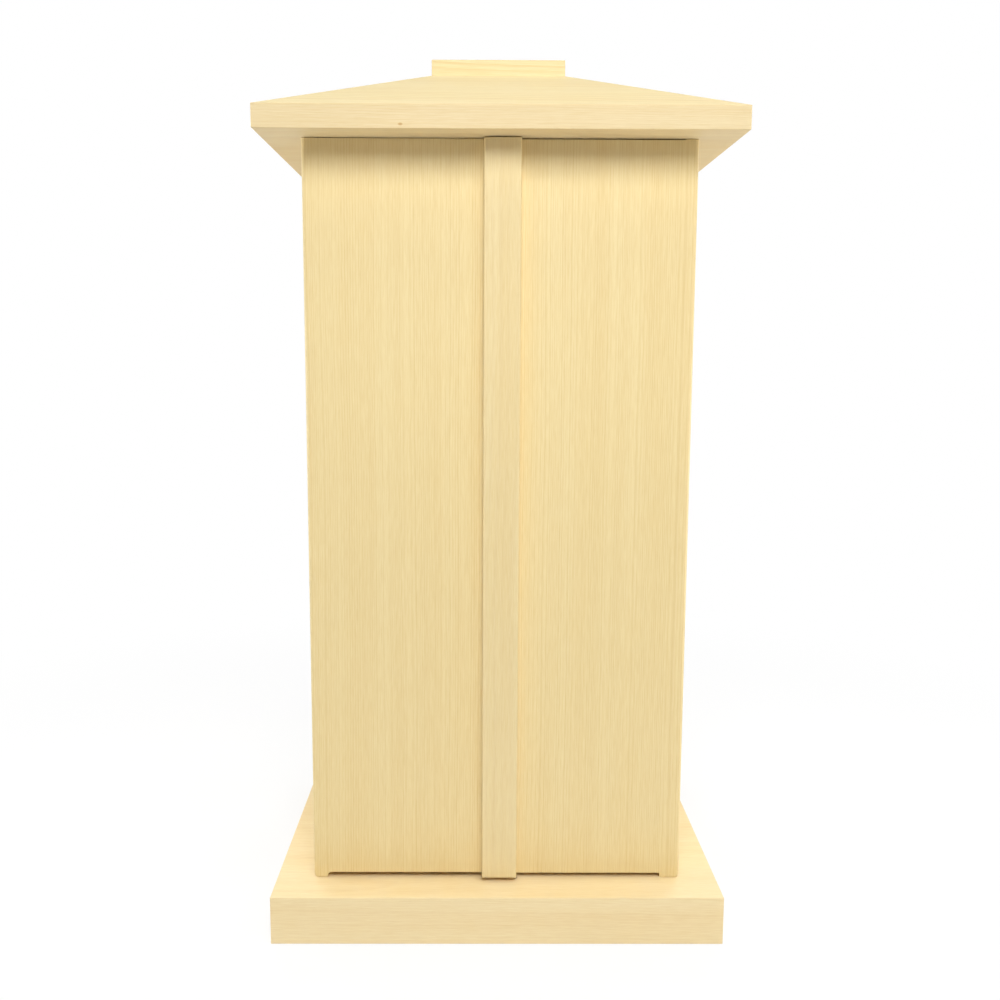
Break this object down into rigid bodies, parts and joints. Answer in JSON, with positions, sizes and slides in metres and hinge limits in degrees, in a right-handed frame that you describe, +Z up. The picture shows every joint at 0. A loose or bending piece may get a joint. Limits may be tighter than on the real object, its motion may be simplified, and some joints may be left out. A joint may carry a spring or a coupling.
{
  "type": "buddhist shrine cabinet",
  "caption": "Tall plain-wood shrine cabinet: flush pivot-hung doors with a cover strip, a broad plinth, an overhanging roof board and a low hipped roof under a flat cap.",
  "frame": {"origin": "middle of the plinth's underside, where the cabinet stands", "axes": "+Z is up, the doors face -Y, and +X is to the right of someone standing before the doors"},
  "size_m": [0.3, 0.27, 0.5901],
  "materials": {
    "plate_wood": "planed, bare, flat-sawn figure",
    "box_wood": "planed, bare, straight grain",
    "inner_wood": "planed, bare, straight grain",
    "roof_wood": "planed, bare, grain along the eaves",
    "door_wood": "planed, bare, fine straight grain",
    "strip_wood": "planed, bare, plain grain",
    "pin_wood": "turned, bare"
  },
  "bodies": {
    "cabinet": {"plinth": "plate_wood", "left_side_panel": "box_wood", "right_side_panel": "box_wood", "back_panel": "box_wood", "floor_board": "inner_wood", "ceiling_board": "inner_wood", "roof_board": "plate_wood", "front_roof_slope": "roof_wood", "back_roof_slope": "roof_wood", "left_roof_slope": "roof_wood", "right_roof_slope": "roof_wood", "cap_block": "roof_wood"},
    "right_leaf": {"right_door": "door_wood", "cover_strip": "strip_wood", "right_lower_pivot_pin": "pin_wood", "right_upper_pivot_pin": "pin_wood"},
    "left_leaf": {"left_door": "door_wood", "left_lower_pivot_pin": "pin_wood", "left_upper_pivot_pin": "pin_wood"}
  },
  "joints": [
    {"name": "right_door_hinge", "type": "hinge", "parent": "cabinet", "child": "right_leaf", "pos_m": [0.119, -0.102, 0.0325], "axis": [0, 0, 1], "range_deg": [0, 180]},
    {"name": "left_door_hinge", "type": "hinge", "parent": "cabinet", "child": "left_leaf", "pos_m": [-0.119, -0.102, 0.0325], "axis": [0, 0, -1], "range_deg": [0, 180]}
  ],
  "couplings": [
    {"joint": "left_door_hinge", "follows": "right_door_hinge", "ratio": 1}
  ]
}
